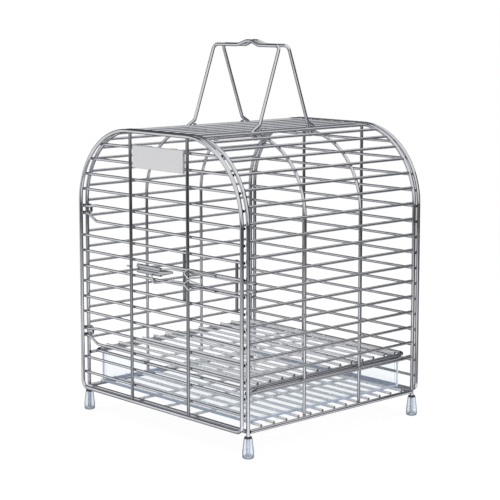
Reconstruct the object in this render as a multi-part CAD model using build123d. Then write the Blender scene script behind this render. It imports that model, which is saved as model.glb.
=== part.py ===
from build123d import *

import os
from math import cos, hypot, pi, sin, sqrt

# Bird travel carrier: a welded cage of round stainless wire.
# +X is the latch side, -Y the door side and +Z up. All lengths are millimetres.

# ---------------------------------------------------------------- driving dimensions
leg_spacing = 230.0  # centre to centre of the legs, side to side
frame_depth = 215.0  # centre to centre of the legs, front to back
base_height = 23.6  # centre of the base rails above the floor
bar_pitch = 15.0  # spacing of the door and rear bars
bar_levels = 17  # bar pitches from the base rails to the roof
shoulder_bend = 73.0  # bend of the hoops between wall and roof
panel_corner_bend = 7.0  # bend at the bottom corners of the door and rear loops
tray_slot = 33.4  # height of the gap beside the tray, centre to centre

hoop_dia = 3.6
rib_dia = 3.0
bar_dia = 2.6
upright_dia = 3.0
weld_sink = 0.05  # how far crossing wires melt into each other
butt_sink = 0.12  # how far a wire's end melts into the wire it meets
seat_gap = 0.02  # between a wire and what is pushed, crimped or laid on it

door_gap = 7.3  # frame hoop centre to door loop centre
upright_places = (-38.4, 42.9)  # door uprights, from the middle of the door
rear_upright_half = 40.3  # rear uprights, from the middle of the rear panel
roof_bar_count = 20
shoulder_bar_count = 7

foot_height = 18.0
foot_floor = 2.0  # leg's cut end above the floor
foot_mouth_radius = 3.8
foot_radius = 5.2
foot_lip = 0.7
foot_toe = 1.7  # rounding of the foot's lower edge
collar_radius = 3.4
collar_height = 1.3

base_wire_count = 13
runner_spacing = 39.0
grate_height = 60.2  # centre of the grate's rim
grate_gap = 0.6  # rim to rib
grate_front_inset = 2.5
grate_back_inset = 3.0
grate_corner_bend = 8.0
grate_wire_count = 13
grate_rail_run = 14.0  # length over which a grate rail steps in from the leg

tray_side_gap = 6.0  # tray to the ribs
tray_end_gap = 8.5  # tray to the middle of the hoops
tray_wall = 2.2
tray_headroom = 1.2

handle_dia = 3.2
handle_half_width = 45.6
handle_offset = 1.7  # middle of the handle from the middle of the cage
handle_height = 356.6  # centre of the grips
handle_spread = 5.4  # grips from the middle plane
eye_gap = 0.45  # rib to the eye of the bail
eye_inner = 5.0  # inner side of the eye from the rib's centre
stub_rise = 5.5
knee_rise = 8.6  # bail's knee above the rib's centre
grip_bend = 5.0
hump_height = 4.0  # finger hump in the middle of each grip
hump_top_half = 3.5
hump_half = 14.2
hump_offset = 2.0  # hump from the middle of the grip
hump_bend = 9.0

hinge_bars = (3, 11)  # lower bar of each hinge pair
hinge_span = 7.0
hinge_clearance = 0.25
hinge_side = 3.8
hinge_web = 2.2
hinge_converge_start = 20.0
hinge_converge_end = 8.0

latch_bar = 8  # lower of the two bars that the latch slides between
rod_dia = 1.6
rod_gap = 0.3
hook_reach = 9.0
hook_tip = 2.6
hook_clearance = 0.5
post_dia = 2.8
post_to_upright = 11.1  # inner guide post from the right upright
post_to_leg = 12.7  # outer guide post from the right leg
post_overhang = 1.2
slide_left = -33.0
slide_right = 1.0
slide_roll_dia = 3.0
slide_roll_spacing = 5.6
slide_shift = 0.75  # slide's middle behind the middle of the bars
slide_web = 0.9
hood_overlap = 3.5  # hood's mouth back over the rolls
hood_length = 17.5  # hood's nose past the rolls
hood_radius = 3.8
hood_nose = 1.4
hood_lift = 2.0  # hood's nose above its mouth
hood_sheet = 0.9
yoke_setback = 10.5  # where the lower rod turns up, from the right end of the slide
yoke_slope = 4.0
yoke_bend = 1.92
rod_bend = 3.2
yoke_drop = 3.2  # how far the lower rod dips in front of its bar
yoke_right = 21.0
rod_back = 34.0  # where both rods are back between the bars
hook_joint = 1.0  # hook's near end from the frame's leg
guide_dia = 1.6
guide_tail = 36.5
guide_eye_length = 19.6
guide_eye_half = 4.3

plate_left_gap = 2.4  # door upright to the plate
plate_width = 72.4
plate_height = 21.0
plate_depth = 2.4
plate_sheet = 0.8
plate_tab_width = 9.0
plate_tab_depth = 5.2
plate_drop = 12.5  # top edge of the plate below the roof line

# ---------------------------------------------------------------- derived places
hoop_r = hoop_dia / 2
rib_r = rib_dia / 2
bar_r = bar_dia / 2
upright_r = upright_dia / 2
side_x = leg_spacing / 2
front_y = -frame_depth / 2
rear_y = frame_depth / 2
roof_height = base_height + bar_levels * bar_pitch
shoulder_height = roof_height - shoulder_bend
flat_half = side_x - shoulder_bend
side_bar_height = base_height + tray_slot

rib_inset = bar_r + rib_r - weld_sink
rib_x = side_x - rib_inset
rib_places = (front_y + frame_depth / 3, rear_y - frame_depth / 3)

door_loop_y = front_y - door_gap
door_bar_y = door_loop_y + hoop_r + bar_r - weld_sink
door_upright_y = door_bar_y - bar_r - upright_r + weld_sink
rear_bar_y = rear_y + hoop_r + bar_r - weld_sink
rear_loop_y = rear_bar_y + bar_r + hoop_r - weld_sink
rear_upright_y = rear_bar_y + bar_r + upright_r - weld_sink

low_centre = (Align.CENTER, Align.CENTER, Align.MIN)


def level(number):
    """Height of a door or rear bar, counted from the base rails."""
    return base_height + number * bar_pitch


def rod(start, end, diameter):
    """Straight round wire between two points."""
    run = Vector(*end) - Vector(*start)
    return Solid.make_cylinder(diameter / 2, run.length, Plane(origin=start, z_dir=run))


def bent_wire(points, bends, diameter, closed=False):
    """Round wire along straight runs joined by bends."""
    path = FilletPolyline(*points, radius=bends, close=closed)
    section = Plane(origin=path @ 0, z_dir=path % 0) * Circle(diameter / 2)
    return sweep(section, path=path)


def arch_half_width(height):
    """Half width of the hoops' centre line at a height."""
    rise = height - shoulder_height
    if rise <= 0:
        return side_x
    return flat_half + sqrt(shoulder_bend**2 - rise**2)


def arch_top(x):
    """Height of the hoops' centre line at a distance from the middle."""
    out = abs(x) - flat_half
    if out <= 0:
        return roof_height
    return shoulder_height + sqrt(shoulder_bend**2 - out**2)


def arch_wire(half_width, top, foot, y, bend, diameter):
    """Inverted U of wire standing on two legs."""
    points = [(-half_width, y, foot), (-half_width, y, top), (half_width, y, top), (half_width, y, foot)]
    return bent_wire(points, [bend, bend], diameter)


def panel_loop(y):
    """Closed loop of the door or of the rear panel."""
    corners = [(-side_x, y, base_height), (-side_x, y, roof_height)]
    corners += [(side_x, y, roof_height), (side_x, y, base_height)]
    bends = [panel_corner_bend, shoulder_bend, shoulder_bend, panel_corner_bend]
    return bent_wire(corners, bends, hoop_dia, closed=True)


def panel_bar(number, y):
    """Straight bar across a loop at one level."""
    height = level(number)
    half = arch_half_width(height)
    return rod((-half, y, height), (half, y, height), bar_dia)


def panel_upright(x, y):
    """Upright between the top and the bottom of a loop."""
    low = base_height + hoop_r - butt_sink
    high = arch_top(x) - hoop_r + butt_sink
    return rod((x, y, low), (x, y, high), upright_dia)


# ---------------------------------------------------------------- frame: hoops and ribs
def build_hoops():
    parts = {}
    for name, y in (("front_hoop", front_y), ("rear_hoop", rear_y)):
        parts[name] = arch_wire(side_x, roof_height, foot_floor, y, shoulder_bend, hoop_dia)
    rib_bend = shoulder_bend - rib_inset
    rib_foot = base_height - hoop_r
    for name, y in zip(("front_rib", "rear_rib"), rib_places):
        parts[name] = arch_wire(rib_x, roof_height - rib_inset, rib_foot, y, rib_bend, rib_dia)
    return parts


# ---------------------------------------------------------------- frame: bars along the depth
def hoop_place(run):
    """Point on the right half of a hoop, a run of wire above the lowest side bar."""
    straight = shoulder_height - side_bar_height
    if run <= straight:
        return side_x, side_bar_height + run
    angle = (run - straight) / shoulder_bend
    if angle <= pi / 2:
        return flat_half + shoulder_bend * cos(angle), shoulder_height + shoulder_bend * sin(angle)
    return flat_half - (run - straight - shoulder_bend * pi / 2), roof_height


def depth_bar(x, z):
    reach = frame_depth / 2 - hoop_r + butt_sink
    return rod((x, -reach, z), (x, reach, z), bar_dia)


def build_depth_bars():
    wall_count = int((shoulder_height - side_bar_height + bar_r) / bar_pitch) + 2
    wall_run = (wall_count - 1) * bar_pitch
    half_run = shoulder_height - side_bar_height + shoulder_bend * pi / 2 + flat_half
    roof_pitch = 2 * (half_run - wall_run) / (roof_bar_count + 1)
    walls = [hoop_place(number * bar_pitch) for number in range(wall_count)]
    roof = [hoop_place(wall_run + (number + 1) * roof_pitch) for number in range(roof_bar_count // 2)]
    shoulder = roof[:shoulder_bar_count]
    flat = roof[shoulder_bar_count:]
    return {
        "left_side_bars": [depth_bar(-x, z) for x, z in walls],
        "right_side_bars": [depth_bar(x, z) for x, z in walls],
        "left_shoulder_bars": [depth_bar(-x, z) for x, z in shoulder],
        "right_shoulder_bars": [depth_bar(x, z) for x, z in shoulder],
        "roof_bars": [depth_bar(side * x, z) for side in (-1, 1) for x, z in flat],
    }


# ---------------------------------------------------------------- base grille
side_rail_x = rib_x + rib_r + hoop_r - weld_sink
base_wire_z = base_height + hoop_r + bar_r - weld_sink
base_runner_z = base_wire_z - bar_dia + weld_sink


def build_base():
    parts = {}
    reach = side_x - hoop_r + butt_sink
    for name, y in (("base_front_rail", front_y), ("base_rear_rail", rear_y)):
        parts[name] = rod((-reach, y, base_height), (reach, y, base_height), hoop_dia)
    reach = frame_depth / 2 - hoop_r + butt_sink
    for name, x in (("base_left_rail", -side_rail_x), ("base_right_rail", side_rail_x)):
        parts[name] = rod((x, -reach, base_height), (x, reach, base_height), hoop_dia)
    step = frame_depth / (base_wire_count + 1)
    places = [front_y + step * (number + 1) for number in range(base_wire_count)]
    parts["base_cross_wires"] = [
        rod((-side_rail_x, y, base_wire_z), (side_rail_x, y, base_wire_z), bar_dia) for y in places
    ]
    parts["base_runners"] = [
        rod((x, -reach, base_runner_z), (x, reach, base_runner_z), bar_dia)
        for x in (-runner_spacing, 0, runner_spacing)
    ]
    return parts


# ---------------------------------------------------------------- removable floor grate
rim_x = rib_x - rib_r - grate_gap - rib_r
rim_front = front_y + grate_front_inset
rim_back = rear_y - grate_back_inset
grate_wire_z = grate_height + rib_r + bar_r - weld_sink
grate_runner_z = grate_wire_z - bar_dia + weld_sink
grate_rail_x = rib_x - rib_r - bar_r + weld_sink
rail_to_rim = rib_r + bar_r
grate_rail_z = grate_height - sqrt(rail_to_rim**2 - (grate_rail_x - rim_x) ** 2)


def build_grate():
    corners = [(-rim_x, rim_front), (-rim_x, rim_back), (rim_x, rim_back), (rim_x, rim_front)]
    points = [(x, y, grate_height) for x, y in corners]
    step = (rim_back - rim_front) / (grate_wire_count + 1)
    places = [rim_front + step * (number + 1) for number in range(grate_wire_count)]
    butt = rib_r - butt_sink
    parts = {"grate_rim": bent_wire(points, grate_corner_bend, rib_dia, closed=True)}
    parts["grate_cross_wires"] = [
        rod((-rim_x, y, grate_wire_z), (rim_x, y, grate_wire_z), bar_dia) for y in places
    ]
    parts["grate_runners"] = [
        rod((x, rim_front + butt, grate_runner_z), (x, rim_back - butt, grate_runner_z), bar_dia)
        for x in (-runner_spacing, 0, runner_spacing)
    ]
    leg_side = side_x - hoop_r - bar_r + weld_sink
    for name, side in (("left_grate_rail", -1), ("right_grate_rail", 1)):
        plan = [(leg_side, front_y), (leg_side, front_y + grate_rail_run / 2)]
        plan += [(grate_rail_x, front_y + grate_rail_run), (grate_rail_x, rear_y - grate_rail_run)]
        plan += [(leg_side, rear_y - grate_rail_run / 2), (leg_side, rear_y)]
        route = [(side * x, y, grate_rail_z) for x, y in plan]
        parts[name] = bent_wire(route, bar_dia * 2, bar_dia)
    return parts


# ---------------------------------------------------------------- droppings tray
def build_tray():
    floor = base_wire_z + bar_r + seat_gap
    height = grate_height - rib_r - tray_headroom - floor
    tray_width = 2 * (rib_x - rib_r - tray_side_gap)
    tray_depth = frame_depth - 2 * tray_end_gap
    outer = Box(tray_width, tray_depth, height, align=low_centre)
    hollow = Box(tray_width - 2 * tray_wall, tray_depth - 2 * tray_wall, height, align=low_centre)
    tray = Pos(0, 0, floor) * (outer - Pos(0, 0, tray_wall) * hollow)
    return {"droppings_tray": tray}


# ---------------------------------------------------------------- foot caps
def build_feet():
    skirt = foot_height / 3
    with BuildSketch(Plane.XZ) as profile:
        with BuildLine():
            Polyline(
                (0, 0),
                (foot_radius, 0),
                (foot_radius, skirt),
                (foot_mouth_radius, foot_height),
                (hoop_r + foot_lip, foot_height),
                (hoop_r + seat_gap, foot_height - foot_lip),
                (hoop_r + seat_gap, foot_floor - seat_gap),
                (0, foot_floor - seat_gap),
                close=True,
            )
        make_face()
    cap = revolve(profile.sketch, Axis.Z)
    cap = fillet(cap.edges().group_by(Axis.Z)[0].sort_by(SortBy.LENGTH)[-1:], foot_toe)
    places = {
        "front_left_foot": (-side_x, front_y),
        "front_right_foot": (side_x, front_y),
        "rear_left_foot": (-side_x, rear_y),
        "rear_right_foot": (side_x, rear_y),
    }
    collar = Pos(0, 0, foot_height) * Cylinder(collar_radius, collar_height, align=low_centre)
    collar -= Pos(0, 0, foot_height) * Cylinder(hoop_r + seat_gap, collar_height, align=low_centre)
    parts = {name: Pos(x, y, 0) * cap for name, (x, y) in places.items()}
    parts |= {f"{name}_collar": Pos(x, y, 0) * collar for name, (x, y) in places.items()}
    return parts


# ---------------------------------------------------------------- rear panel
def build_rear_panel():
    return {
        "rear_panel_loop": panel_loop(rear_loop_y),
        "rear_panel_bars": [panel_bar(number, rear_bar_y) for number in range(1, bar_levels)],
        "rear_panel_uprights": [panel_upright(side * rear_upright_half, rear_upright_y) for side in (-1, 1)],
    }


# ---------------------------------------------------------------- door
def hinge_wire(number):
    """One wire for two door bars, bent round the frame's left leg between two side bars."""
    leg_bars = [side_bar_height + step * bar_pitch for step in range(bar_levels)]
    below = max(z for z in leg_bars if z < level(number) + bar_pitch / 2)
    low = below + bar_dia + rod_gap
    high = low + hinge_span
    back_y = front_y + hoop_r + bar_r + hinge_clearance
    wrap_x = -side_x - hinge_side
    web_x = -side_x + hinge_web
    half = side_x
    upper = [(half, door_bar_y, level(number + 1))]
    upper += [(-side_x + hinge_converge_start, door_bar_y, level(number + 1))]
    upper += [(-side_x + hinge_converge_end, door_bar_y, high)]
    upper += [(wrap_x, door_bar_y, high), (wrap_x, back_y, high), (web_x, back_y, high)]
    lower = [(web_x, back_y, low), (wrap_x, back_y, low), (wrap_x, door_bar_y, low)]
    lower += [(-side_x + hinge_converge_end, door_bar_y, low)]
    lower += [(-side_x + hinge_converge_start, door_bar_y, level(number))]
    lower += [(half, door_bar_y, level(number))]
    wrap_bend = (back_y - door_bar_y) / 2 - rod_gap
    web_bend = bar_dia * 0.85
    ease = bar_dia * 3
    bends = [ease, ease, wrap_bend, wrap_bend, web_bend, web_bend, wrap_bend, wrap_bend, ease, ease]
    return bent_wire(upper + lower, bends, bar_dia)


def build_door():
    hinge_levels = [number + step for number in hinge_bars for step in (0, 1)]
    plain = [number for number in range(1, bar_levels) if number not in hinge_levels]
    return {
        "door_loop": panel_loop(door_loop_y),
        "door_bars": [panel_bar(number, door_bar_y) for number in plain],
        "door_uprights": [panel_upright(x, door_upright_y) for x in upright_places],
        "lower_hinge_wire": hinge_wire(hinge_bars[0]),
        "upper_hinge_wire": hinge_wire(hinge_bars[1]),
    }


# ---------------------------------------------------------------- name plate
def build_name_plate():
    face_y = door_bar_y - bar_r + weld_sink - plate_depth
    left = upright_places[0] + upright_r + plate_left_gap
    low = roof_height - plate_drop - plate_height
    corner = (Align.MIN, Align.MIN, Align.MIN)
    pan = Pos(left, face_y, low) * Box(plate_width, plate_depth, plate_height, align=corner)
    pan = fillet(pan.edges().group_by(Axis.Y)[0], plate_sheet)
    inner_width = plate_width - 2 * plate_sheet
    inner_height = plate_height - 2 * plate_sheet
    hollow = Box(inner_width, plate_depth, inner_height, align=corner)
    pan -= Pos(left + plate_sheet, face_y + plate_sheet, low + plate_sheet) * hollow
    tab = Box(plate_tab_width, plate_tab_depth, plate_sheet, align=corner)
    for share in (0.25, 0.75):
        x = left + plate_width * share - plate_tab_width / 2
        for z in (low, low + plate_height - plate_sheet):
            pan += Pos(x, face_y + plate_sheet, z) * tab
    return {"name_plate": pan}


# ---------------------------------------------------------------- latch guides on the door
rod_r = rod_dia / 2
guide_r = guide_dia / 2
latch_low = level(latch_bar)
latch_high = level(latch_bar + 1)


def guide_loop(bar_height, side):
    """Wire eye over the door's right upright round a latch rod, with its tail on the bar."""
    tail_rise = guide_r * 0.8
    tail_y = door_bar_y - sqrt((bar_r + guide_r - weld_sink / 2) ** 2 - tail_rise**2)
    cross_y = door_upright_y - upright_r - guide_r + weld_sink
    x = upright_places[1]
    near = x + upright_dia
    apex = x + guide_eye_length
    tail_z = bar_height + side * tail_rise
    middle = bar_height + side * (bar_r + rod_gap + rod_r)
    points = [
        (x + guide_tail, tail_y, tail_z),
        (apex, tail_y, tail_z),
        (near, cross_y, middle - side * guide_eye_half),
        (x - upright_dia, cross_y, middle),
        (near, cross_y, middle + side * guide_eye_half),
        (apex - guide_dia, tail_y, middle + side * guide_dia),
    ]
    return bent_wire(points, [guide_dia, guide_dia, guide_dia, guide_dia], guide_dia)


def build_latch_guides():
    post_y = door_bar_y + bar_r + post_dia / 2 - weld_sink
    low = level(latch_bar - 1) - post_overhang
    high = level(latch_bar + 2) + post_overhang
    peg_y = door_upright_y - upright_r - rod_r + weld_sink
    peg_z = (latch_low + latch_high) / 2 + rod_dia
    peg_x = upright_places[0]
    places = (upright_places[1] - post_to_upright, side_x - post_to_leg)
    return {
        "latch_guide_posts": [rod((x, post_y, low), (x, post_y, high), post_dia) for x in places],
        "latch_guide_loops": [guide_loop(latch_high, -1), guide_loop(latch_low, 1)],
        "latch_rest_peg": rod((peg_x - rod_dia * 2, peg_y, peg_z), (peg_x + rod_dia, peg_y, peg_z), rod_dia),
    }


# ---------------------------------------------------------------- sliding latch
slide_y = door_bar_y + slide_shift
slide_z = (latch_low + latch_high) / 2
roll_offset = slide_roll_spacing / 2
hook_back_y = front_y + hoop_r + rod_r + hook_clearance


def latch_hook(height):
    """Hook that catches behind the frame's right leg when the latch is pushed shut."""
    near = side_x + hook_joint
    points = [
        (near, door_bar_y, height),
        (side_x + hook_reach, door_bar_y, height),
        (side_x + hook_reach, hook_back_y, height),
        (side_x + hook_tip, hook_back_y, height),
    ]
    hook_bend = (hook_back_y - door_bar_y) / 2 - rod_gap
    return bent_wire(points, hook_bend, rod_dia)


def upper_rod(height, hook_height, diameter):
    """Rod from the slide's upper roll, between the bars, to the upper hook."""
    points = [
        (slide_right - slide_roll_dia, slide_y, slide_z + roll_offset),
        (slide_right + rod_dia, slide_y, slide_z + roll_offset),
        (slide_right + hood_length, door_bar_y, height),
        (side_x - rod_dia * 6, door_bar_y, height),
        (side_x - rod_dia * 3, door_bar_y, hook_height),
        (side_x + hook_joint, door_bar_y, hook_height),
    ]
    if hook_height == height:
        del points[3:5]
    return bent_wire(points, rod_bend, diameter)


def lower_rod(height, hook_height, diameter):
    """Rod that leaves the slide downwards, dips in front of its bar and runs to the lower hook."""
    dip_y = door_bar_y - bar_r - rod_r - rod_gap
    yoke_left = slide_right - yoke_setback
    points = [
        (yoke_left, slide_y, slide_z - roll_offset),
        (yoke_left, dip_y, slide_z - roll_offset - rod_r),
        (yoke_left + yoke_slope, dip_y, latch_low - yoke_drop),
        (yoke_right, dip_y, height),
        (rod_back, door_bar_y, height),
        (side_x - rod_dia * 6, door_bar_y, height),
        (side_x - rod_dia * 3, door_bar_y, hook_height),
        (side_x + hook_joint, door_bar_y, hook_height),
    ]
    bends = [rod_dia, yoke_bend, rod_bend, rod_bend, rod_bend, rod_bend]
    return bent_wire(points, bends, diameter)


def hood_cone(mouth_radius, nose_radius, start, end):
    """Cone from the hood's mouth to its nose, about a line that rises to the nose."""
    base_y = slide_y - rod_r - seat_gap
    mouth = Plane(origin=(start, base_y, slide_z), z_dir=(1, 0, 0)) * Circle(mouth_radius)
    nose = Plane(origin=(end, base_y, slide_z + hood_lift), z_dir=(1, 0, 0)) * Circle(nose_radius)
    return loft([mouth, nose])


def build_thumb_slide():
    """Channel with two rolled edges and a half-round hood to push with the thumb."""
    length = slide_right - slide_left
    left_middle = (Align.MIN, Align.CENTER, Align.CENTER)
    slide = Pos(slide_left, slide_y, slide_z) * Box(length, slide_web, slide_roll_spacing, align=left_middle)
    for side in (-1, 1):
        z = slide_z + side * roll_offset
        slide += rod((slide_left, slide_y, z), (slide_right, slide_y, z), slide_roll_dia)
    mouth = slide_right - hood_overlap
    nose = slide_right + hood_length
    hood = hood_cone(hood_radius, hood_nose, mouth, nose)
    hood -= hood_cone(hood_radius - hood_sheet, hood_nose / 2, mouth, nose - hood_sheet * 2)
    front_space = Box(length, hood_radius, bar_pitch, align=(Align.MIN, Align.MAX, Align.CENTER))
    hood &= Pos(mouth, slide_y - rod_r - seat_gap, slide_z) * front_space
    return slide + hood


def build_latch():
    clear = bar_r + rod_r + rod_gap
    side_bars = [side_bar_height + step * bar_pitch for step in range(bar_levels)]
    side_bar = max(z for z in side_bars if z < slide_z)
    upper = latch_high - clear
    lower = latch_low + clear
    low_hook = side_bar + clear
    slide = build_thumb_slide()
    cut = rod_dia + 2 * seat_gap
    slide -= upper_rod(upper, upper, cut)
    slide -= lower_rod(lower, low_hook, cut)
    return {
        "latch_thumb_slide": slide,
        "latch_upper_rod": upper_rod(upper, upper, rod_dia),
        "latch_upper_hook": latch_hook(upper),
        "latch_lower_rod": lower_rod(lower, low_hook, rod_dia),
        "latch_lower_hook": latch_hook(low_hook),
    }


# ---------------------------------------------------------------- carrying handle
def handle_bail(side):
    """Flat wire bail that swings in two eyes round a rib, with a finger hump in its grip."""
    rib_y = side * abs(rib_places[0])
    rib_z = roof_height - rib_inset
    eye = rib_r + handle_dia / 2 + eye_gap
    foot = [
        (rib_y - side * eye_inner, rib_z + stub_rise),
        (rib_y - side * eye_inner, rib_z - eye),
        (rib_y + side * eye, rib_z - eye),
        (rib_y + side * eye, rib_z + eye),
        (rib_y - side * eye_inner, rib_z + knee_rise),
        (side * handle_spread, handle_height),
    ]
    left = handle_offset - handle_half_width
    right = handle_offset + handle_half_width
    middle = handle_offset + hump_offset
    lean = (abs(rib_y) - eye_inner - handle_spread) / (handle_height - rib_z - knee_rise)
    rise = hump_height / hypot(1, lean)
    crest = (side * (handle_spread - rise * lean), handle_height + rise)
    points = [(left, y, z) for y, z in foot]
    points += [(middle - hump_half, *foot[-1]), (middle - hump_top_half, *crest)]
    points += [(middle + hump_top_half, *crest), (middle + hump_half, *foot[-1])]
    points += [(right, y, z) for y, z in reversed(foot)]
    foot_bends = [eye, eye, handle_dia * 0.7, handle_dia * 1.3, grip_bend]
    return bent_wire(points, foot_bends + [hump_bend] * 4 + foot_bends[::-1], handle_dia)


def build_handle():
    return {"front_handle_bail": handle_bail(-1), "rear_handle_bail": handle_bail(1)}


# ---------------------------------------------------------------- assembly and export
nodes = {}
for section in (
    build_hoops,
    build_depth_bars,
    build_base,
    build_grate,
    build_tray,
    build_feet,
    build_rear_panel,
    build_door,
    build_name_plate,
    build_latch_guides,
    build_latch,
    build_handle,
):
    nodes.update(section())

# The origin is under the middle of the whole cage, on the floor.
shapes = {}
for name, shape in nodes.items():
    shapes[name] = Compound(children=list(shape)) if isinstance(shape, list) else shape
box = Compound(children=[Compound(children=shape.solids()) for shape in shapes.values()]).bounding_box()
middle = box.center()
shift = Pos(-middle.X, -middle.Y, -box.min.Z)

os.makedirs("parts", exist_ok=True)
for name, shape in shapes.items():
    export_step(shift * shape, f"parts/{name}.step")
print("origin shift", -middle.X, -middle.Y, -box.min.Z, "size", box.size)
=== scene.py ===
import math

import bmesh
import bpy
from mathutils import Matrix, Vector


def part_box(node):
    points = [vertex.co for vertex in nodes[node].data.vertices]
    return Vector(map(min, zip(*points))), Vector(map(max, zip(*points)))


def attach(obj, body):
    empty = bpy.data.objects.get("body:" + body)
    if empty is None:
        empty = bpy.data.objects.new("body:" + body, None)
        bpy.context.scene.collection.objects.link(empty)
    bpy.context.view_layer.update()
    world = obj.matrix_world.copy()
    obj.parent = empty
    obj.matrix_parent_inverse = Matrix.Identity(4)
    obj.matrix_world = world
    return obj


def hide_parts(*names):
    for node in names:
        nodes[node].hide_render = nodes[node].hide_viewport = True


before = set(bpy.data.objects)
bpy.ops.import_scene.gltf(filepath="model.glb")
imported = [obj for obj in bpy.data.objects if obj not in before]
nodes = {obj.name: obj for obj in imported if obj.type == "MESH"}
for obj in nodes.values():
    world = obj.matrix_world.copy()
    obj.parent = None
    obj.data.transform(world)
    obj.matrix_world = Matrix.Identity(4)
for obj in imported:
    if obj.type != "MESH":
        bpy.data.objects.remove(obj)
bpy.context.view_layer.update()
mm = 0.001
sharpDeg = 35  # edges that turn more than this stay crisp
white = (1, 1, 1, 1)
print("frame loaded:", len(nodes), "nodes")


def linearColour(hexColour, alpha=1.0):
    parts = [int(hexColour[start:start + 2], 16) / 255 for start in (1, 3, 5)]
    curve = [part / 12.92 if part <= 0.04045 else ((part + 0.055) / 1.055) ** 2.4 for part in parts]
    return (*curve, alpha)


def addNode(tree, kind, settings=None, values=None, links=None):
    node = tree.nodes.new(kind)
    for name, value in (settings or {}).items():
        setattr(node, name, value)
    for socket, value in (values or {}).items():
        node.inputs[socket].default_value = value
    for socket, source in (links or {}).items():
        tree.links.new(source, node.inputs[socket])
    return node


def newMaterial(name):
    material = bpy.data.materials.new(name)
    material.use_nodes = True
    material.node_tree.nodes.clear()
    return material, material.node_tree


def finishMaterial(tree, shader):
    addNode(tree, "ShaderNodeOutputMaterial", links={"Surface": shader.outputs[0]})


def dress(names, material):
    for name in names:
        piece = nodes[name]
        piece.data.materials.clear()
        piece.data.materials.append(material)


def smoothPiece(name, body, shape, material):
    mesh = bpy.data.meshes.new(name)
    shape.to_mesh(mesh)
    shape.free()
    mesh.shade_smooth()
    mesh.set_sharp_from_angle(angle=math.radians(sharpDeg))
    mesh.materials.append(material)
    piece = bpy.data.objects.new(name, mesh)
    bpy.context.scene.collection.objects.link(piece)
    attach(piece, body)
    return piece


# The camera stands in front of the right leg and looks a little down on the cage.
viewpoint = {
    "place": (1.0944, -1.00975, 0.397),
    "headingDeg": 137.31,  # direction of view on the floor, from +X
    "tiltDeg": -7.21,
    "lensMm": 112.8,
    "sensorMm": 36.0,
    "shiftUp": -0.1,
    "clipStart": 0.05,
}

lens = bpy.data.cameras.new("studioCamera")
lens.lens = viewpoint["lensMm"]
lens.sensor_width = viewpoint["sensorMm"]
lens.shift_y = viewpoint["shiftUp"]
lens.clip_start = viewpoint["clipStart"]
camera = bpy.data.objects.new("studioCamera", lens)
bpy.context.scene.collection.objects.link(camera)
camera.location = viewpoint["place"]
camera.rotation_euler = (
    math.radians(90 + viewpoint["tiltDeg"]),
    0,
    math.radians(viewpoint["headingDeg"] - 90),
)
bpy.context.scene.camera = camera
bpy.context.scene.view_settings.view_transform = "Standard"
print("camera placed")


studio = {
    "floorHalf": 4.0,
    "floorHex": "#F7F7F7",
    "floorGlow": 0.9,  # share of the floor's white that takes no shadow
    "floorFade": (0.5, 1.6),  # metres from the middle over which the floor turns plain white
    "skyHex": "#FFFFFF",
    "skyStrength": 0.95,
    "lamps": [
        # name, place, aim, width, height, watts
        ("windowLeft", (-1.1, -1.3, 1.2), (0, 0, 0.15), 0.5, 1.4, 14),
        ("windowRight", (1.5, 0.5, 1.0), (0, 0, 0.15), 0.35, 1.4, 10),
        ("overhead", (0.1, -0.1, 1.8), (0, 0, 0), 1.2, 1.2, 20),
    ],
    # grey flags that only the metal sees: corners on the floor plan, low and high edge, hex
    "flags": [
        ("flagBehind", (-1.6, 0.75), (0.9, 1.05), 0.0, 0.9, "#58595D"),
        ("flagLeftBehind", (-1.15, 0.95), (-1.05, 0.25), 0.0, 0.9, "#58595D"),
        ("flagLeft", (-1.05, 0.25), (-1.0, -0.35), 0.0, 0.9, "#4A4B4E"),
        ("flagRight", (0.95, 0.15), (0.85, 1.1), 0.0, 0.8, "#5E5F63"),
        ("flagFront", (0.75, -1.0), (0.95, -0.65), 0.0, 0.3, "#8C8D90"),
    ],
    # the table as the metal sees it: white close by, dark where the studio begins
    "tableFade": (0.1, 1.1),
    "tableNearHex": "#C6C7C9",
    "tableFarHex": "#3A3B3E",
    "tableRadius": 3.0,
    "tableLift": 0.0005,
    # lit wedges of table: name, tip, heading and half angle in degrees, length,
    # hex at the tip, hex at the far end, strength
    "gleams": [
        ("gleamNearCorner", (0.112, -0.1065), -42.7, 30, 1.3, "#FFFFFF", "#3A3B3E", 1.5),
        ("gleamFrontLeft", (0.0, -0.13), -137, 24, 3.6, "#FFFFFF", "#E2E2E4", 1.0),
    ],
    "gleamStart": 0.1,  # distance from the tip at which a wedge begins to fade
    "gleamLift": 0.001,
    # level cards that only the metal sees, painting grey, white and shade into its reflections:
    # name, low corner, high corner on the floor plan, height, hex
    "levelFlags": [
        ("greyCardRight", (0.19, -0.02), (0.6, 0.6), 0.002, "#8A8B8F"),
        ("whiteCardRight", (0.122, -0.115), (0.18, 0.3), 0.002, "#FFFFFF"),
        ("shadeUnderCage", (-0.125, -0.118), (0.121, 0.12), 0.002, "#7C7D80"),
        ("ceilingLeft", (-1.4, -1.2), (-0.35, 0.5), 1.0, "#6A6B6F"),
    ],
}


def backdropShare(tree, share=None):
    # what the camera, mirrors and clear parts see of the stage, times an optional share
    ray = addNode(tree, "ShaderNodeLightPath")
    metal = addNode(
        tree, "ShaderNodeMath", {"operation": "ADD"},
        links={0: ray.outputs["Is Camera Ray"], 1: ray.outputs["Is Glossy Ray"]},
    )
    clear = addNode(
        tree, "ShaderNodeMath", {"operation": "ADD", "use_clamp": True},
        links={0: metal.outputs[0], 1: ray.outputs["Is Transmission Ray"]},
    )
    if share is None:
        return clear
    return addNode(
        tree, "ShaderNodeMath", {"operation": "MULTIPLY"},
        links={0: clear.outputs[0], 1: share.outputs[0]},
    )


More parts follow.
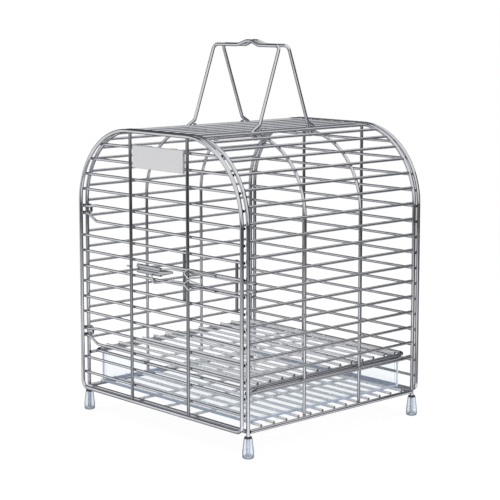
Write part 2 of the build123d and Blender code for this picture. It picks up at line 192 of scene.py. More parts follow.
def stageObject(name, shape, material):
    mesh = bpy.data.meshes.new(name)
    shape.to_mesh(mesh)
    shape.free()
    mesh.materials.append(material)
    item = bpy.data.objects.new(name, mesh)
    bpy.context.scene.collection.objects.link(item)
    return item


def buildFloor():
    material, tree = newMaterial("paleFloorPaper")
    place = addNode(tree, "ShaderNodeTexCoord")
    reach = addNode(
        tree, "ShaderNodeVectorMath", {"operation": "LENGTH"}, links={0: place.outputs["Object"]},
    )
    near, far = studio["floorFade"]
    glowShare = addNode(
        tree, "ShaderNodeMapRange", {"interpolation_type": "SMOOTHSTEP"},
        {"From Min": near, "From Max": far, "To Min": studio["floorGlow"], "To Max": 1.0},
        {"Value": reach.outputs["Value"]},
    )
    diffuse = addNode(
        tree, "ShaderNodeBsdfDiffuse", values={"Color": linearColour(studio["floorHex"])},
    )
    glow = addNode(tree, "ShaderNodeEmission", values={"Color": white, "Strength": 1.0})
    share = backdropShare(tree, glowShare)
    mix = addNode(
        tree, "ShaderNodeMixShader",
        links={0: share.outputs[0], 1: diffuse.outputs[0], 2: glow.outputs[0]},
    )
    finishMaterial(tree, mix)
    shape = bmesh.new()
    bmesh.ops.create_grid(shape, x_segments=1, y_segments=1, size=studio["floorHalf"])
    stageObject("studioFloor", shape, material)


def buildSky():
    world = bpy.data.worlds.new("studioSky")
    bpy.context.scene.world = world
    world.use_nodes = True
    tree = world.node_tree
    tree.nodes.clear()
    light = addNode(
        tree, "ShaderNodeBackground",
        values={"Color": linearColour(studio["skyHex"]), "Strength": studio["skyStrength"]},
    )
    backdrop = addNode(tree, "ShaderNodeBackground", values={"Color": white, "Strength": 1.0})
    share = backdropShare(tree)
    mix = addNode(
        tree, "ShaderNodeMixShader",
        links={0: share.outputs[0], 1: light.outputs[0], 2: backdrop.outputs[0]},
    )
    addNode(tree, "ShaderNodeOutputWorld", links={"Surface": mix.outputs[0]})


def buildLamps():
    for name, place, aim, width, height, watts in studio["lamps"]:
        light = bpy.data.lights.new(name, "AREA")
        light.shape = "RECTANGLE"
        light.size = width
        light.size_y = height
        light.energy = watts
        lamp = bpy.data.objects.new(name, light)
        bpy.context.scene.collection.objects.link(lamp)
        lamp.location = place
        lamp.visible_glossy = False
        run = [goal - start for goal, start in zip(aim, place)]
        flat = math.hypot(run[0], run[1])
        turn = math.atan2(run[1], run[0]) - math.pi / 2
        lamp.rotation_euler = (math.atan2(flat, -run[2]), 0, turn)


def metalOnly(card):
    card.visible_camera = False
    card.visible_diffuse = False
    card.visible_transmission = False
    card.visible_shadow = False
    card.visible_volume_scatter = False


def flagCard(name, corners, hexColour):
    material, tree = newMaterial(name + "Felt")
    felt = addNode(
        tree, "ShaderNodeEmission", values={"Color": linearColour(hexColour), "Strength": 1.0},
    )
    finishMaterial(tree, felt)
    shape = bmesh.new()
    shape.faces.new([shape.verts.new(corner) for corner in corners])
    metalOnly(stageObject(name, shape, material))


def buildFlags():
    for name, start, end, low, high, hexColour in studio["flags"]:
        corners = [(*start, low), (*end, low), (*end, high), (*start, high)]
        flagCard(name, corners, hexColour)
    for name, (left, front), (right, back), z, hexColour in studio["levelFlags"]:
        corners = [(left, front, z), (right, front, z), (right, back, z), (left, back, z)]
        flagCard(name, corners, hexColour)


def gradedPaper(name, middle, near, far, startHex, endHex, strength):
    # fades from one grey to another with the distance from its middle
    material, tree = newMaterial(name)
    place = addNode(tree, "ShaderNodeTexCoord")
    reach = addNode(
        tree, "ShaderNodeVectorMath", {"operation": "DISTANCE"}, {1: middle},
        {0: place.outputs["Object"]},
    )
    fade = addNode(
        tree, "ShaderNodeMapRange", values={"From Min": near, "From Max": far},
        links={"Value": reach.outputs["Value"]},
    )
    shade = addNode(
        tree, "ShaderNodeMix", {"data_type": "RGBA"},
        {"A": linearColour(startHex), "B": linearColour(endHex)},
        {"Factor": fade.outputs[0]},
    )
    glow = addNode(
        tree, "ShaderNodeEmission", values={"Strength": strength},
        links={"Color": shade.outputs["Result"]},
    )
    finishMaterial(tree, glow)
    return material


def buildTableSheen():
    paper = gradedPaper(
        "tableSheenPaper", (0, 0, 0), *studio["tableFade"], studio["tableNearHex"],
        studio["tableFarHex"], 1.0,
    )
    shape = bmesh.new()
    bmesh.ops.create_circle(shape, cap_ends=True, segments=64, radius=studio["tableRadius"])
    bmesh.ops.translate(shape, verts=shape.verts, vec=(0, 0, studio["tableLift"]))
    metalOnly(stageObject("tableSheen", shape, paper))


def buildGleams():
    z = studio["gleamLift"]
    for name, tip, heading, halfAngle, length, tipHex, farHex, strength in studio["gleams"]:
        paper = gradedPaper(
            name + "Paper", (*tip, 0), studio["gleamStart"], length, tipHex, farHex, strength,
        )
        corners = [(*tip, z)]
        for turn in (-halfAngle, halfAngle):
            angle = math.radians(heading + turn)
            corners.append(
                (tip[0] + math.cos(angle) * length, tip[1] + math.sin(angle) * length, z)
            )
        shape = bmesh.new()
        shape.faces.new([shape.verts.new(corner) for corner in corners])
        metalOnly(stageObject(name, shape, paper))


buildFloor()
buildTableSheen()
buildGleams()
buildSky()
buildLamps()
buildFlags()
print("studio lit")


# Stainless wire, drawn and electropolished: it mirrors the room in long streaks along each wire.
wireFinish = {
    "steelHex": "#DCDDE1",
    "shadeHex": "#C6C7CC",
    "polishRoughness": 0.05,
    "dullRoughness": 0.12,
    "patchMm": 14.0,  # handling marks and polish changes
    "drawLineMm": 0.5,  # die lines are finer; drawn this coarse so that they show
    "drawLineLength": 40.0,  # times longer along the wire than across it
    "lineStrength": 0.06,
    "lineDepthMm": 0.01,
    "metallic": 1.0,
    "paintedEdgeShadeHex": "#505156",  # painted shade on the wire's edges: an edge tint far darker than the slight dip real steel mirrors at a grazing angle
    "paintedEndShadeHex": "#1E1F21",  # painted shade: a bar's end faces are painted near black, for the shade the ends sit in
    "endShadeFacing": (0.75, 0.92),  # how squarely a face looks along its wire to count as an end
    "patchRange": (0.3, 0.7),  # noise levels between fully polished and fully dull
}
# the uprights read a shade darker than the bars: painted shade, a darker steel colour for the
# darker reflections they show
shadedUprightFinish = dict(wireFinish, steelHex="#A6A8AB", shadeHex="#989A9E")
# the rear bars' ends get no painted end shade
endShadeFreeFinish = dict(wireFinish, paintedEndShadeHex=wireFinish["shadeHex"])
# grate and base grille are drawn paler, rougher and less of a mirror than the cage wire
floorWireFinish = dict(
    wireFinish, steelHex="#F2F2F4", shadeHex="#E8E9EB", polishRoughness=0.16, dullRoughness=0.3,
    metallic=0.7, paintedEdgeShadeHex="#DDDDDD", paintedEndShadeHex="#6E7074",
)
# the wires under the tray are a little less of a mirror still: painted light against the shade of
# the tray and grate above, with a darker painted edge shade
baseWireFinish = dict(floorWireFinish, metallic=0.6, paintedEdgeShadeHex="#9A9BA0")


def stainlessWire(name, grainAxis, finish):
    # die lines and the painted shade on the ends follow the wire's axis; a bent wire has no one
    # axis
    material, tree = newMaterial(name)
    place = addNode(tree, "ShaderNodeTexCoord")
    stretch = [1.0, 1.0, 1.0]
    if grainAxis:
        stretch["XYZ".index(grainAxis)] = 1 / finish["drawLineLength"]
    grainPlace = addNode(
        tree, "ShaderNodeMapping", values={"Scale": stretch},
        links={"Vector": place.outputs["Object"]},
    )
    lines = addNode(
        tree, "ShaderNodeTexNoise",
        values={"Scale": 1 / (finish["drawLineMm"] * mm), "Detail": 2.0, "Roughness": 0.5},
        links={"Vector": grainPlace.outputs[0]},
    )
    patches = addNode(
        tree, "ShaderNodeTexNoise",
        values={"Scale": 1 / (finish["patchMm"] * mm), "Detail": 4.0, "Roughness": 0.55},
        links={"Vector": place.outputs["Object"]},
    )
    colour = addNode(
        tree, "ShaderNodeMix", {"data_type": "RGBA"},
        {"A": linearColour(finish["shadeHex"]), "B": linearColour(finish["steelHex"])},
        {"Factor": patches.outputs["Fac"]},
    )
    low, high = finish["patchRange"]
    rough = addNode(
        tree, "ShaderNodeMapRange",
        values={"From Min": low, "From Max": high, "To Min": finish["polishRoughness"],
                "To Max": finish["dullRoughness"]},
        links={"Value": patches.outputs["Fac"]},
    )
    bump = addNode(
        tree, "ShaderNodeBump",
        values={"Strength": finish["lineStrength"], "Distance": finish["lineDepthMm"] * mm},
        links={"Height": lines.outputs["Fac"]},
    )
    steel = colour.outputs["Result"]
    if grainAxis:
        # painted shade: faces that look along the wire, its ends, are mixed towards the end shade
        # colour
        facing = addNode(tree, "ShaderNodeSeparateXYZ", links={0: place.outputs["Normal"]})
        squarely = addNode(
            tree, "ShaderNodeMath", {"operation": "ABSOLUTE"}, links={0: facing.outputs[grainAxis]},
        )
        low, high = finish["endShadeFacing"]
        endShade = addNode(
            tree, "ShaderNodeMapRange", values={"From Min": low, "From Max": high},
            links={"Value": squarely.outputs[0]},
        )
        steel = addNode(
            tree, "ShaderNodeMix", {"data_type": "RGBA"}, {"B": linearColour(finish["paintedEndShadeHex"])},
            {"A": steel, "Factor": endShade.outputs[0]},
        ).outputs["Result"]
    # the edge tint paints shade along the wire's silhouette
    shader = addNode(
        tree, "ShaderNodeBsdfPrincipled",
        values={"Metallic": finish["metallic"], "Specular Tint": linearColour(finish["paintedEdgeShadeHex"])},
        links={"Base Color": steel, "Roughness": rough.outputs[0], "Normal": bump.outputs[0]},
    )
    finishMaterial(tree, shader)
    return material


# material, axis that its wires run along, finish, pieces
wirePieces = [
    ("drawnStainlessWireAcross", "X", wireFinish, [
        "door_bars", "base_front_rail", "base_rear_rail", "upper_hinge_wire", "lower_hinge_wire",
        "latch_upper_rod", "latch_lower_rod", "latch_upper_hook", "latch_lower_hook",
        "latch_rest_peg", "latch_guide_loops",
    ]),
    ("drawnStainlessWireAlong", "Y", wireFinish, [
        "left_side_bars", "right_side_bars", "left_shoulder_bars", "right_shoulder_bars",
        "roof_bars", "base_left_rail", "base_right_rail", "left_grate_rail", "right_grate_rail",
    ]),
    ("drawnStainlessWireBent", None, wireFinish, [
        "front_hoop", "rear_hoop", "front_rib", "rear_rib", "door_loop", "rear_panel_loop",
        "grate_rim", "front_handle_bail", "rear_handle_bail",
    ]),
    ("stainlessWireWithoutEndShade", "X", endShadeFreeFinish, ["rear_panel_bars"]),
    ("shadedUprightStainlessWire", "Z", shadedUprightFinish, [
        "door_uprights", "rear_panel_uprights", "latch_guide_posts",
    ]),
    ("paleStainlessWireAcross", "X", floorWireFinish, ["grate_cross_wires"]),
    ("paleStainlessWireAlong", "Y", floorWireFinish, ["base_runners", "grate_runners"]),
    ("palerStainlessWireUnderTray", "X", baseWireFinish, ["base_cross_wires"]),
]
for name, grainAxis, finish, pieces in wirePieces:
    dress(pieces, stainlessWire(name, grainAxis, finish))
print("wire finished")


# Resistance welds: a small squeezed-out bead where two wires cross, a touch darker than the wire.
# Part of that darkness is real heat tint, part is painted shade for the dark spot where the wires
# cross.
beadFinish = {
    "sizeMm": (0.9, 1.5, 1.5),  # half sizes: across the joint, then along the two wires
    "archBendMm": 73.0,  # bend of the arches between wall and roof
    "barMm": 1.3,  # half the thickness of a bar
    "barPitchMm": 15.0,
    "sameBarMm": 4.0,  # points nearer than this belong to one bar
    "endFaceMm": 0.1,  # depth of the slice in which a bar's end is looked for
    "facets": (8, 6),
    # painted shade: the bead's steel is darker than the wire's
    "steelHex": "#A9A9AC",
    "tintHex": "#7D7A78",  # heat tint
    "roughness": 0.3,
}


def barCentres(name):
    # where each of a node's straight Y bars runs, as seen from the front
    mesh = nodes[name].data
    front = min(vertex.co.y for vertex in mesh.vertices)
    groups = []
    for vertex in mesh.vertices:
        if vertex.co.y > front + beadFinish["endFaceMm"] * mm:
            continue
        for group in groups:
            apart = math.hypot(group[0].x - vertex.co.x, group[0].z - vertex.co.z)
            if apart < beadFinish["sameBarMm"] * mm:
                group.append(vertex.co)
                break
        else:
            groups.append([vertex.co])
    centres = []
    for group in groups:
        across = [point.x for point in group]
        heights = [point.z for point in group]
        centres.append(((min(across) + max(across)) / 2, (min(heights) + max(heights)) / 2))
    return centres


def addBead(shape, place, halfSizes):
    around, upward = beadFinish["facets"]
    bead = bmesh.ops.create_uvsphere(shape, u_segments=around, v_segments=upward, radius=mm)
    bmesh.ops.scale(shape, verts=bead["verts"], vec=halfSizes)
    bmesh.ops.translate(shape, verts=bead["verts"], vec=place)


def frameBeads(material):
    # one bead inside each lengthwise bar at each rib, turned to face the middle of the arch
    thin, wide, tall = beadFinish["sizeMm"]
    shape = bmesh.new()
    hoopLow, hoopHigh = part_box("front_hoop")
    middle = (hoopLow[0] + hoopHigh[0]) / 2
    bendTop = hoopHigh[2] - beadFinish["archBendMm"] * mm
    bendSide = (hoopHigh[0] - hoopLow[0]) / 2 - beadFinish["archBendMm"] * mm
    inset = beadFinish["barMm"] * mm
    ribs = [(box[0][1] + box[1][1]) / 2 for box in (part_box("front_rib"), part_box("rear_rib"))]
    for name in (
        "left_side_bars", "right_side_bars", "left_shoulder_bars", "right_shoulder_bars",
        "roof_bars",
    ):
        for x, z in barCentres(name):
            centreX = middle + max(-bendSide, min(bendSide, x - middle))
            centreZ = min(z, bendTop)
            reach = math.hypot(x - centreX, z - centreZ)
            inward = ((centreX - x) / reach, (centreZ - z) / reach)
            spot = (x + inward[0] * inset, z + inward[1] * inset)
            upright = abs(inward[0]) > abs(inward[1])
            halfSizes = (thin, wide, tall) if upright else (tall, wide, thin)
            for y in ribs:
                addBead(shape, (spot[0], y, spot[1]), halfSizes)
    smoothPiece("frame_weld_beads", "frame", shape, material)


def uprightMiddles(name):
    low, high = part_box(name)
    half = (high[1] - low[1]) / 2
    return [low[0] + half, high[0] - half]


def panelBeads(name, body, barsNode, uprightsNode, material):
    # one bead where each crosswise bar meets each upright
    thin, wide, tall = beadFinish["sizeMm"]
    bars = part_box(barsNode)
    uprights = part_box(uprightsNode)
    if bars[0][1] > uprights[0][1]:
        joint = (bars[0][1] + uprights[1][1]) / 2
    else:
        joint = (bars[1][1] + uprights[0][1]) / 2
    shape = bmesh.new()
    level = bars[0][2] + beadFinish["barMm"] * mm
    while level < bars[1][2]:
        for x in uprightMiddles(uprightsNode):
            addBead(shape, (x, joint, level), (wide, thin, tall))
        level += beadFinish["barPitchMm"] * mm
    smoothPiece(name, body, shape, material)


def weldedSteel(name, finish):
    material, tree = newMaterial(name)
    place = addNode(tree, "ShaderNodeTexCoord")
    heat = addNode(
        tree, "ShaderNodeTexNoise",
        values={"Scale": 1 / (finish["sizeMm"][1] * mm), "Detail": 3.0},
        links={"Vector": place.outputs["Object"]},
    )
    colour = addNode(
        tree, "ShaderNodeMix", {"data_type": "RGBA"},
        {"A": linearColour(finish["tintHex"]), "B": linearColour(finish["steelHex"])},
        {"Factor": heat.outputs["Fac"]},
    )
    shader = addNode(
        tree, "ShaderNodeBsdfPrincipled",
        values={"Metallic": 1.0, "Roughness": finish["roughness"]},
        links={"Base Color": colour.outputs["Result"]},
    )
    finishMaterial(tree, shader)
    return material


shadedBeadSteel = weldedSteel("weldBeadWithPaintedShade", beadFinish)
frameBeads(shadedBeadSteel)
panelBeads("door_weld_beads", "door", "door_bars", "door_uprights", shadedBeadSteel)
panelBeads("rear_weld_beads", "frame", "rear_panel_bars", "rear_panel_uprights", shadedBeadSteel)
print("weld beads made")


# Thin stainless sheet, brushed along its length: the plate is left satin, which spreads the light,
# and the thumb slide is buffed, which leaves it nearly a mirror.
plateFinish = {
    "hex": "#C9C9CB",
    "roughness": 0.42,
    "metallic": 0.6,
    "brushMm": 0.3,  # brush marks are finer; this coarse so that they show
    "brushStretch": 0.05,  # width of a brush mark over its length
    "brushDepthMm": 0.02,
    "brushStrength": 0.2,
    "roughSwing": (0.8, 1.25),  # roughness between and on the brush marks, times its mean
}
slideFinish = dict(plateFinish, hex="#B4B5B9", roughness=0.08, metallic=1.0)


def formedSheet(name, finish):
    material, tree = newMaterial(name)
    place = addNode(tree, "ShaderNodeTexCoord")
    grain = addNode(
        tree, "ShaderNodeMapping", values={"Scale": (finish["brushStretch"], 1.0, 1.0)},
        links={"Vector": place.outputs["Object"]},
    )
    lines = addNode(
        tree, "ShaderNodeTexNoise",
        values={"Scale": 1 / (finish["brushMm"] * mm), "Detail": 3.0},
        links={"Vector": grain.outputs[0]},
    )
    least, most = finish["roughSwing"]
    rough = addNode(
        tree, "ShaderNodeMapRange",
        values={"To Min": finish["roughness"] * least, "To Max": finish["roughness"] * most},
        links={"Value": lines.outputs["Fac"]},
    )
    bump = addNode(
        tree, "ShaderNodeBump",
        values={"Strength": finish["brushStrength"], "Distance": finish["brushDepthMm"] * mm},
        links={"Height": lines.outputs["Fac"]},
    )
    shader = addNode(
        tree, "ShaderNodeBsdfPrincipled",
        values={"Base Color": linearColour(finish["hex"]), "Metallic": finish["metallic"]},
        links={"Roughness": rough.outputs[0], "Normal": bump.outputs[0]},
    )
    finishMaterial(tree, shader)
    return material


dress(["name_plate"], formedSheet("satinStainlessSheet", plateFinish))
print("plate finished")


# The thumb slide is one strip: both edges rolled into open tubes, the end drawn into a hooded nose.
slideShape = {
    "tubeMm": 3.7,
    "tubeDepth": 0.8,  # tubes are flattened to this share of their height
    "sheetMm": 0.45,
    "tubeLengthMm": 34.0,
    "webSetbackMm": 0.5,  # web in front of the tubes' backs
    "hoodMouthMm": 2.9,  # radius at the tubes' end
    "hoodNoseMm": 1.0,
    "hoodDropMm": 0.5,  # mouth's middle under the middle of the strip
    "noseRiseMm": 2.0,
    "noseEdgeMm": 0.4,
    "segments": 24,
}


def buildThumbSlide(shapeOf):
    low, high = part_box("latch_thumb_slide")
    radius = shapeOf["tubeMm"] / 2 * mm
    sheet = shapeOf["sheetMm"] * mm
    backY = high[1] - radius * shapeOf["tubeDepth"]
    webY = high[1] - shapeOf["webSetbackMm"] * mm - sheet
    tubeEnd = low[0] + shapeOf["tubeLengthMm"] * mm
    turnToX = Matrix.Rotation(math.radians(90), 3, "Y")
    shape = bmesh.new()
    for z in (low[2] + radius, high[2] - radius):
        made = bmesh.ops.create_circle(shape, segments=shapeOf["segments"], radius=radius)
        bmesh.ops.rotate(shape, verts=made["verts"], matrix=turnToX)
        bmesh.ops.scale(shape, verts=made["verts"], vec=(1, shapeOf["tubeDepth"], 1))
        bmesh.ops.translate(shape, verts=made["verts"], vec=(low[0], backY, z))
        ring = {edge for vertex in made["verts"] for edge in vertex.link_edges}
        drawn = bmesh.ops.extrude_edge_only(shape, edges=list(ring))
        far = [item for item in drawn["geom"] if isinstance(item, bmesh.types.BMVert)]
        bmesh.ops.translate(shape, verts=far, vec=(tubeEnd - low[0], 0, 0))
    bmesh.ops.recalc_face_normals(shape, faces=shape.faces)
    bmesh.ops.solidify(shape, geom=shape.faces, thickness=sheet)
    middle = (low[2] + high[2]) / 2
    web = bmesh.ops.create_cube(shape, size=1.0)
    bmesh.ops.scale(
        shape, verts=web["verts"], vec=(tubeEnd - low[0], sheet, high[2] - low[2] - radius * 2),
    )
    bmesh.ops.translate(shape, verts=web["verts"], vec=((low[0] + tubeEnd) / 2, webY, middle))
    joinShape(shape, hoodShape(shapeOf, tubeEnd, high[0], backY, middle))
    return shape


def hoodShape(shapeOf, start, end, backY, middle):
    hood = bmesh.new()
    bmesh.ops.create_cone(
        hood, segments=shapeOf["segments"] * 2, radius1=shapeOf["hoodMouthMm"] * mm,
        radius2=shapeOf["hoodNoseMm"] * mm, depth=end - start, cap_ends=True,
    )
    mouth = min(hood.faces, key=lambda face: face.calc_center_median().z)
    bmesh.ops.delete(hood, geom=[mouth], context="FACES_ONLY")
    bmesh.ops.rotate(hood, verts=hood.verts, matrix=Matrix.Rotation(math.radians(90), 3, "Y"))
    noseRim = [edge for edge in hood.edges if min(vertex.co.x for vertex in edge.verts) > 0]
    bmesh.ops.bevel(
        hood, geom=noseRim, offset=shapeOf["noseEdgeMm"] * mm, segments=3, profile=0.5,
        affect="EDGES", material=-1,
    )
    bmesh.ops.bisect_plane(
        hood, geom=hood.verts[:] + hood.edges[:] + hood.faces[:], plane_co=(0, 0, 0),
        plane_no=(0, 1, 0), clear_outer=True,
    )
    for vertex in hood.verts:
        along = vertex.co.x / (end - start) + 0.5
        vertex.co.z += (shapeOf["noseRiseMm"] * along - shapeOf["hoodDropMm"] * (1 - along)) * mm
    bmesh.ops.translate(hood, verts=hood.verts, vec=((start + end) / 2, backY, middle))
    bmesh.ops.recalc_face_normals(hood, faces=hood.faces)
    bmesh.ops.solidify(hood, geom=hood.faces, thickness=shapeOf["sheetMm"] * mm)
    return hood


def joinShape(shape, extra):
    mesh = bpy.data.meshes.new("joining")
    extra.to_mesh(mesh)
    extra.free()
    shape.from_mesh(mesh)
    bpy.data.meshes.remove(mesh)


slideSteel = formedSheet("polishedStainlessSheet", slideFinish)
slideSheet = buildThumbSlide(slideShape)
thumbSlide = smoothPiece("latch_slide_sheet", "latch", slideSheet, slideSteel)
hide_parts("latch_thumb_slide")
print("thumb slide made")


# Bent and cemented acrylic sheet: almost unseen face on, a mirror at a low angle, blue-grey where
# the eye looks along the sheet at its edges and corners.
trayFinish = {
    "faceHex": "#FDFEFF",
    "edgeHex": "#98A3B5",
    "cornerHex": "#BCC7D7",
    "edgeMm": 1.6,  # how far in from the outer faces the edge colour starts
    "edgeRiseMm": 3.0,  # height of the dark line along the foot of each wall
    "edgeFullShare": 0.6,  # share of that height up to which it is full
    "hazeRiseMm": 9.0,
    "hazeShare": 0.05,
    "mirrorShare": (0.02, 0.04),  # face on, and at the lowest angle
    "mirrorPower": 5.0,
    "veilHex": "#FAFBFC",
    "veilShare": 0.03,  # fine scratches on the floor of the tray scatter white light
    "floorMm": 3.0,
    "floorFullShare": 0.9,
    "roughness": 0.03,
    "roughSwing": (0.5, 2.5),  # roughness of clean and scuffed places, times its mean
    "scuffMm": 9.0,
}


def nearLimits(tree, coordinate, low, high, reach):
    # 1 within reach of either limit, 0 from twice as far in
    middle = (low + high) / 2
    half = high - middle
    offset = addNode(
        tree, "ShaderNodeMath", {"operation": "SUBTRACT"}, {1: middle}, {0: coordinate},
    )
    away = addNode(tree, "ShaderNodeMath", {"operation": "ABSOLUTE"}, links={0: offset.outputs[0]})
    return addNode(
        tree, "ShaderNodeMapRange",
        values={"From Min": half - 2 * reach, "From Max": half - reach},
        links={"Value": away.outputs[0]},
    )


def paneShine(tree, finish):
    # the share of light that a clear sheet mirrors grows steeply as the view gets lower
    faceOn, steepest = finish["mirrorShare"]
    angle = addNode(tree, "ShaderNodeLayerWeight", values={"Blend": 0.5})
    steep = addNode(
        tree, "ShaderNodeMath", {"operation": "POWER"}, {1: finish["mirrorPower"]},
        {0: angle.outputs["Facing"]},
    )
    return addNode(
        tree, "ShaderNodeMapRange", values={"To Min": faceOn, "To Max": steepest},
        links={"Value": steep.outputs[0]},
    )


def clearSheet(name, low, high, finish):
    material, tree = newMaterial(name)
    place = addNode(tree, "ShaderNodeTexCoord")
    apart = addNode(tree, "ShaderNodeSeparateXYZ", links={0: place.outputs["Object"]})
    reach = finish["edgeMm"] * mm
    footTop = finish["edgeRiseMm"] * mm
    floorTop = finish["floorMm"] * mm
    sideX = nearLimits(tree, apart.outputs["X"], low[0], high[0], reach)
    sideY = nearLimits(tree, apart.outputs["Y"], low[1], high[1], reach)
    wall = addNode(
        tree, "ShaderNodeMath", {"operation": "MAXIMUM"},
        links={0: sideX.outputs[0], 1: sideY.outputs[0]},
    )
    corner = addNode(
        tree, "ShaderNodeMath", {"operation": "MULTIPLY"},
        links={0: sideX.outputs[0], 1: sideY.outputs[0]},
    )
    foot = addNode(
        tree, "ShaderNodeMapRange",
        values={"From Min": low[2] + footTop,
                "From Max": low[2] + footTop * finish["edgeFullShare"]},
        links={"Value": apart.outputs["Z"]},
    )
    haze = addNode(
        tree, "ShaderNodeMapRange",
        values={"From Min": low[2] + finish["hazeRiseMm"] * mm, "From Max": low[2],
                "To Max": finish["hazeShare"]},
        links={"Value": apart.outputs["Z"]},
    )
    rise = addNode(
        tree, "ShaderNodeMath", {"operation": "MAXIMUM"},
        links={0: foot.outputs[0], 1: haze.outputs[0]},
    )
    band = addNode(
        tree, "ShaderNodeMath", {"operation": "MULTIPLY"},
        links={0: wall.outputs[0], 1: rise.outputs[0]},
    )
    edge = addNode(
        tree, "ShaderNodeMath", {"operation": "MAXIMUM"},
        links={0: band.outputs[0], 1: corner.outputs[0]},
    )
    colour = addNode(
        tree, "ShaderNodeMix", {"data_type": "RGBA"},
        {"A": linearColour(finish["edgeHex"]), "B": linearColour(finish["cornerHex"])},
        {"Factor": corner.outputs[0]},
    )
    veil = addNode(
        tree, "ShaderNodeMapRange",
        values={"From Min": low[2] + floorTop,
                "From Max": low[2] + floorTop * finish["floorFullShare"],
                "To Max": finish["veilShare"]},
        links={"Value": apart.outputs["Z"]},
    )
    scuffs = addNode(
        tree, "ShaderNodeTexNoise",
        values={"Scale": 1 / (finish["scuffMm"] * mm), "Detail": 5.0, "Roughness": 0.6},
        links={"Vector": place.outputs["Object"]},
    )
    clean, scuffed = finish["roughSwing"]
    rough = addNode(
        tree, "ShaderNodeMapRange",
        values={"To Min": finish["roughness"] * clean, "To Max": finish["roughness"] * scuffed},
        links={"Value": scuffs.outputs["Fac"]},
    )
    through = addNode(
        tree, "ShaderNodeBsdfTransparent", values={"Color": linearColour(finish["faceHex"])},
    )
    shine = addNode(
        tree, "ShaderNodeBsdfAnisotropic", values={"Color": white},
        links={"Roughness": rough.outputs[0]},
    )
    face = addNode(
        tree, "ShaderNodeMixShader",
        links={0: paneShine(tree, finish).outputs[0], 1: through.outputs[0], 2: shine.outputs[0]},
    )
    scratched = addNode(
        tree, "ShaderNodeBsdfDiffuse", values={"Color": linearColour(finish["veilHex"])},
    )
    floor = addNode(
        tree, "ShaderNodeMixShader",
        links={0: veil.outputs[0], 1: face.outputs[0], 2: scratched.outputs[0]},
    )
    solid = addNode(
        tree, "ShaderNodeBsdfPrincipled",
        links={"Base Color": colour.outputs["Result"], "Roughness": rough.outputs[0]},
    )
    whole = addNode(
        tree, "ShaderNodeMixShader",
        links={0: edge.outputs[0], 1: floor.outputs[0], 2: solid.outputs[0]},
    )
    finishMaterial(tree, whole)
    return material


dress(["droppings_tray"], clearSheet("clearCastAcrylic", *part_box("droppings_tray"), trayFinish))
print("tray finished")


# Soft clear vinyl caps, dip moulded: water clear with a faint blue cast, darkest where the wall is
# seen edge on and round the closed sole.
capFinish = {
    "clearHex": "#C6D3E6",
    "rimHex": "#5B6880",
    "soleHex": "#36404F",
    "clearShare": 0.26,
    "rimShare": 0.8,
    "rimFacing": (0.2, 0.72),  # how far the wall turns from the eye before it counts as rim
    "soleMm": 3.2,
    "soleFullShare": 1 / 3,  # share of the sole's height up to which it is darkest
    "roughness": 0.06,
    "roughSwing": (0.6, 1.6),  # roughness of clear and mottled places, times its mean
    "mottleMm": 3.0,
}


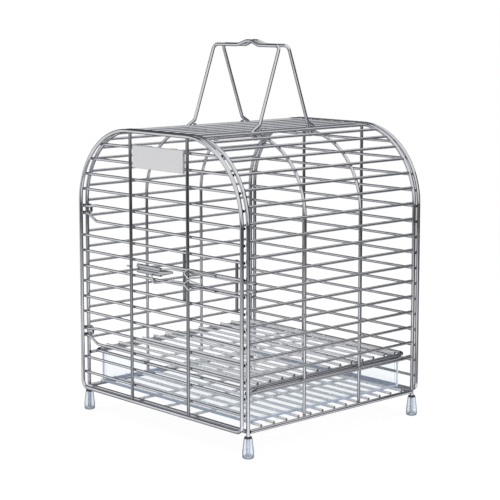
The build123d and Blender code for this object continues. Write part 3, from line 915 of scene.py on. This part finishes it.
def clearCap(name, finish):
    material, tree = newMaterial(name)
    place = addNode(tree, "ShaderNodeTexCoord")
    apart = addNode(tree, "ShaderNodeSeparateXYZ", links={0: place.outputs["Object"]})
    angle = addNode(tree, "ShaderNodeLayerWeight", values={"Blend": 0.5})
    rimStart, rimFull = finish["rimFacing"]
    rim = addNode(
        tree, "ShaderNodeMapRange", {"interpolation_type": "SMOOTHSTEP"},
        {"From Min": rimStart, "From Max": rimFull}, {"Value": angle.outputs["Facing"]},
    )
    soleTop = finish["soleMm"] * mm
    sole = addNode(
        tree, "ShaderNodeMapRange", {"interpolation_type": "SMOOTHSTEP"},
        {"From Min": soleTop, "From Max": soleTop * finish["soleFullShare"]},
        {"Value": apart.outputs["Z"]},
    )
    mottle = addNode(
        tree, "ShaderNodeTexNoise",
        values={"Scale": 1 / (finish["mottleMm"] * mm), "Detail": 3.0},
        links={"Vector": place.outputs["Object"]},
    )
    clear, mottled = finish["roughSwing"]
    rough = addNode(
        tree, "ShaderNodeMapRange",
        values={"To Min": finish["roughness"] * clear, "To Max": finish["roughness"] * mottled},
        links={"Value": mottle.outputs["Fac"]},
    )
    wallColour = addNode(
        tree, "ShaderNodeMix", {"data_type": "RGBA"},
        {"A": linearColour(finish["clearHex"]), "B": linearColour(finish["rimHex"])},
        {"Factor": rim.outputs[0]},
    )
    colour = addNode(
        tree, "ShaderNodeMix", {"data_type": "RGBA"}, {"B": linearColour(finish["soleHex"])},
        {"A": wallColour.outputs["Result"], "Factor": sole.outputs[0]},
    )
    most = addNode(
        tree, "ShaderNodeMath", {"operation": "MAXIMUM"},
        links={0: rim.outputs[0], 1: sole.outputs[0]},
    )
    cover = addNode(
        tree, "ShaderNodeMapRange",
        values={"To Min": finish["clearShare"], "To Max": finish["rimShare"]},
        links={"Value": most.outputs[0]},
    )
    shader = addNode(
        tree, "ShaderNodeBsdfPrincipled",
        links={"Base Color": colour.outputs["Result"], "Roughness": rough.outputs[0],
               "Alpha": cover.outputs[0]},
    )
    finishMaterial(tree, shader)
    return material


feet = [name for name in nodes if name.endswith("_foot")]
dress(feet, clearCap("clearSoftVinyl", capFinish))
print("foot caps finished")


# Moulded nitrile rubber: near black, matt, with the fine bloom that old rubber gets.
collarFinish = {
    "rubberHex": "#1B1C1E",
    "bloomHex": "#3A3B3E",
    "roughness": 0.55,
    "bloomMm": 1.2,
    "grainMm": 0.25,
    "grainDepthMm": 0.05,
    "grainStrength": 0.3,
}


def mouldedRubber(name, finish):
    material, tree = newMaterial(name)
    place = addNode(tree, "ShaderNodeTexCoord")
    bloom = addNode(
        tree, "ShaderNodeTexNoise",
        values={"Scale": 1 / (finish["bloomMm"] * mm), "Detail": 4.0},
        links={"Vector": place.outputs["Object"]},
    )
    grain = addNode(
        tree, "ShaderNodeTexNoise",
        values={"Scale": 1 / (finish["grainMm"] * mm), "Detail": 2.0},
        links={"Vector": place.outputs["Object"]},
    )
    colour = addNode(
        tree, "ShaderNodeMix", {"data_type": "RGBA"},
        {"A": linearColour(finish["rubberHex"]), "B": linearColour(finish["bloomHex"])},
        {"Factor": bloom.outputs["Fac"]},
    )
    bump = addNode(
        tree, "ShaderNodeBump",
        values={"Strength": finish["grainStrength"], "Distance": finish["grainDepthMm"] * mm},
        links={"Height": grain.outputs["Fac"]},
    )
    shader = addNode(
        tree, "ShaderNodeBsdfPrincipled", values={"Roughness": finish["roughness"]},
        links={"Base Color": colour.outputs["Result"], "Normal": bump.outputs[0]},
    )
    finishMaterial(tree, shader)
    return material


collars = [name for name in nodes if name.endswith("_foot_collar")]
dress(collars, mouldedRubber("mouldedBlackRubber", collarFinish))
print("foot collars finished")
